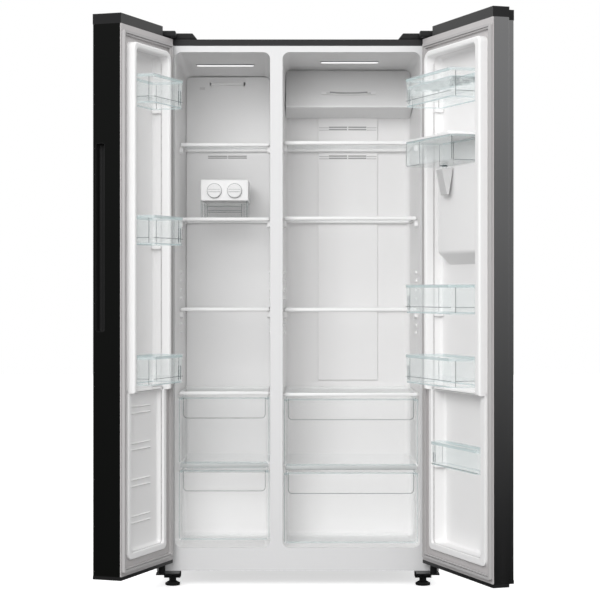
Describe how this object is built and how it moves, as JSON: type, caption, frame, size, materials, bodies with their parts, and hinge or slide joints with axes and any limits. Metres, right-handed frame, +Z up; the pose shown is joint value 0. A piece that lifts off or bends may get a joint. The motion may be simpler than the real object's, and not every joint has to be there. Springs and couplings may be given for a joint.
{
  "type": "side by side refrigerator",
  "caption": "Tall cabinet with a freezer and a fridge compartment side by side, swinging doors with lift-off bins, glass shelves and sliding drawers.",
  "frame": {"origin": "on the floor, under the middle of the cabinet's front plane", "axes": "+Z up, +X to the right along the front, +Y from the front plane into the cabinet"},
  "size_m": [1.2625, 1.0602, 1.786],
  "materials": {
    "cabinet_steel": "satin",
    "galvanised_sheet": "satin",
    "white_frame": "satin",
    "white_liner": "satin",
    "foam": "matte",
    "air_cover_white": "satin",
    "lamp_lens": "matte",
    "shelf_glass": "gloss",
    "white_trim": "gloss",
    "hinge_steel": "satin",
    "hinge_cover_plastic": "matte",
    "compressor_paint": "satin",
    "coil_aluminium": "satin",
    "fan_plastic": "satin",
    "pan_plastic": "matte",
    "board_green": "satin",
    "roller_nylon": "satin",
    "foot_rubber": "matte",
    "tray_white": "gloss",
    "knob_white": "gloss",
    "clear_tub": "gloss",
    "dark_door_steel": "satin",
    "dark_cap": "satin",
    "gasket": "matte",
    "pocket_plastic": "satin",
    "grey_door_steel": "satin",
    "niche_plastic": "satin",
    "lever_plastic": "gloss",
    "egg_clear": "gloss",
    "tank_clear": "gloss"
  },
  "bodies": {
    "cabinet": {"outer_wrapper": "cabinet_steel", "back_panel": "galvanised_sheet", "front_frame": "white_frame", "base_cover": "white_frame", "base_frame": "galvanised_sheet", "freezer_liner": "white_liner", "fridge_liner": "white_liner", "foam_insulation": "foam", "evaporator_cover": "air_cover_white", "fridge_air_duct": "air_cover_white", "ceiling_lamps": "lamp_lens", "glass_shelves": "shelf_glass", "shelf_trims": "white_trim", "top_hinges": "hinge_steel", "hinge_covers": "hinge_cover_plastic", "bottom_hinges": "hinge_steel", "compressor": "compressor_paint", "condenser": "coil_aluminium", "fan_shroud": "fan_plastic", "evaporator": "coil_aluminium", "drip_pan": "pan_plastic", "control_board": "board_green", "machine_cover": "galvanised_sheet", "ice_maker_frame": "tray_white"},
    "condenser_fan": {"condenser_fan": "fan_plastic"},
    "evaporator_fan": {"evaporator_fan": "fan_plastic"},
    "rear_rollers": {"rear_rollers": "roller_nylon"},
    "front_foot_left": {"front_foot_left": "foot_rubber"},
    "front_foot_right": {"front_foot_right": "foot_rubber"},
    "ice_tray_left": {"ice_tray_left": "knob_white"},
    "ice_tray_right": {"ice_tray_right": "knob_white"},
    "ice_bucket": {"ice_bucket": "clear_tub"},
    "left_top_bin": {"left_top_bin": "clear_tub"},
    "left_middle_bin": {"left_middle_bin": "clear_tub"},
    "left_low_bin": {"left_low_bin": "clear_tub"},
    "right_top_bin": {"right_top_bin": "clear_tub"},
    "right_middle_bin": {"right_middle_bin": "clear_tub"},
    "right_low_bin": {"right_low_bin": "clear_tub"},
    "right_bottom_bin": {"right_bottom_bin": "clear_tub"},
    "egg_tray": {"egg_tray": "egg_clear"},
    "tank_flap": {"tank_flap": "white_trim"},
    "dispenser_lever": {"dispenser_lever": "lever_plastic"},
    "freezer_upper_drawer": {"freezer_upper_drawer": "clear_tub"},
    "freezer_lower_drawer": {"freezer_lower_drawer": "clear_tub"},
    "fridge_upper_drawer": {"fridge_upper_drawer": "clear_tub"},
    "fridge_lower_drawer": {"fridge_lower_drawer": "clear_tub"},
    "water_tank": {"water_tank": "tank_clear", "tank_lid": "white_trim"},
    "left_door": {"left_door_skin": "dark_door_steel", "left_door_liner": "white_liner", "left_door_caps": "dark_cap", "left_door_gasket": "gasket", "left_door_foam": "foam", "handle_insert": "pocket_plastic"},
    "right_door": {"right_door_skin": "grey_door_steel", "right_door_liner": "white_liner", "right_door_caps": "dark_cap", "right_door_gasket": "gasket", "right_door_foam": "foam", "dispenser_housing": "niche_plastic"}
  },
  "joints": [
    {"name": "left_door_swing", "type": "hinge", "parent": "cabinet", "child": "left_door", "pos_m": [-0.434, -0.041, 0.9], "axis": [0, 0, -1], "range_deg": [-109.9, 12]},
    {"name": "right_door_swing", "type": "hinge", "parent": "cabinet", "child": "right_door", "pos_m": [0.434, -0.041, 0.9], "axis": [0, 0, 1], "range_deg": [-109.4, 12]},
    {"name": "left_top_bin_lift", "type": "slide", "parent": "left_door", "child": "left_top_bin", "axis": [0, 0, 1], "range_m": [0, 0.03]},
    {"name": "left_middle_bin_lift", "type": "slide", "parent": "left_door", "child": "left_middle_bin", "axis": [0, 0, 1], "range_m": [0, 0.03]},
    {"name": "left_low_bin_lift", "type": "slide", "parent": "left_door", "child": "left_low_bin", "axis": [0, 0, 1], "range_m": [0, 0.03]},
    {"name": "right_top_bin_lift", "type": "slide", "parent": "right_door", "child": "right_top_bin", "axis": [0, 0, 1], "range_m": [0, 0.03]},
    {"name": "right_middle_bin_lift", "type": "slide", "parent": "right_door", "child": "right_middle_bin", "axis": [0, 0, 1], "range_m": [0, 0.03]},
    {"name": "right_low_bin_lift", "type": "slide", "parent": "right_door", "child": "right_low_bin", "axis": [0, 0, 1], "range_m": [0, 0.03]},
    {"name": "right_bottom_bin_lift", "type": "slide", "parent": "right_door", "child": "right_bottom_bin", "axis": [0, 0, 1], "range_m": [0, 0.03]},
    {"name": "egg_tray_lift", "type": "slide", "parent": "right_top_bin", "child": "egg_tray", "axis": [0, 0, 1], "range_m": [0, 0.06]},
    {"name": "water_tank_lift", "type": "slide", "parent": "right_door", "child": "water_tank", "axis": [0, 0, 1], "range_m": [0, 0.04]},
    {"name": "tank_flap_hinge", "type": "hinge", "parent": "water_tank", "child": "tank_flap", "pos_m": [0.4814, -0.39538, 1.4233], "axis": [-0.3322, 0.9432, 0], "range_deg": [0, 95]},
    {"name": "dispenser_lever_press", "type": "hinge", "parent": "right_door", "child": "dispenser_lever", "pos_m": [0.53549, -0.30211, 1.294], "axis": [-0.3322, 0.9432, 0], "range_deg": [0, 10], "stiffness_Nm_per_rad": 0.4},
    {"name": "freezer_upper_drawer_slide", "type": "slide", "parent": "cabinet", "child": "freezer_upper_drawer", "axis": [0, -1, 0], "range_m": [0, 0.24]},
    {"name": "freezer_lower_drawer_slide", "type": "slide", "parent": "cabinet", "child": "freezer_lower_drawer", "axis": [0, -1, 0], "range_m": [0, 0.12]},
    {"name": "fridge_upper_drawer_slide", "type": "slide", "parent": "cabinet", "child": "fridge_upper_drawer", "axis": [0, -1, 0], "range_m": [0, 0.3]},
    {"name": "fridge_lower_drawer_slide", "type": "slide", "parent": "cabinet", "child": "fridge_lower_drawer", "axis": [0, -1, 0], "range_m": [0, 0.18]},
    {"name": "ice_bucket_slide", "type": "slide", "parent": "cabinet", "child": "ice_bucket", "axis": [0, -1, 0], "range_m": [0, 0.16]},
    {"name": "ice_tray_left_twist", "type": "hinge", "parent": "cabinet", "child": "ice_tray_left", "pos_m": [-0.277, 0.182, 1.2815], "axis": [0, -1, 0], "range_deg": [0, 130], "stiffness_Nm_per_rad": 0.15},
    {"name": "ice_tray_right_twist", "type": "hinge", "parent": "cabinet", "child": "ice_tray_right", "pos_m": [-0.21, 0.182, 1.2815], "axis": [0, -1, 0], "range_deg": [0, 130], "stiffness_Nm_per_rad": 0.15},
    {"name": "front_foot_left_screw", "type": "slide", "parent": "cabinet", "child": "front_foot_left", "axis": [0, 0, -1], "range_m": [0, 0.012]},
    {"name": "front_foot_right_screw", "type": "slide", "parent": "cabinet", "child": "front_foot_right", "axis": [0, 0, -1], "range_m": [0, 0.012]},
    {"name": "rear_rollers_roll", "type": "hinge", "parent": "cabinet", "child": "rear_rollers", "pos_m": [0, 0.49, 0.02], "axis": [1, 0, 0], "continuous": true},
    {"name": "condenser_fan_spin", "type": "hinge", "parent": "cabinet", "child": "condenser_fan", "pos_m": [-0.115, 0.4365, 0.158], "axis": [1, 0, 0], "continuous": true},
    {"name": "evaporator_fan_spin", "type": "hinge", "parent": "cabinet", "child": "evaporator_fan", "pos_m": [-0.242, 0.469, 0.9], "axis": [0, 1, 0], "continuous": true}
  ]
}
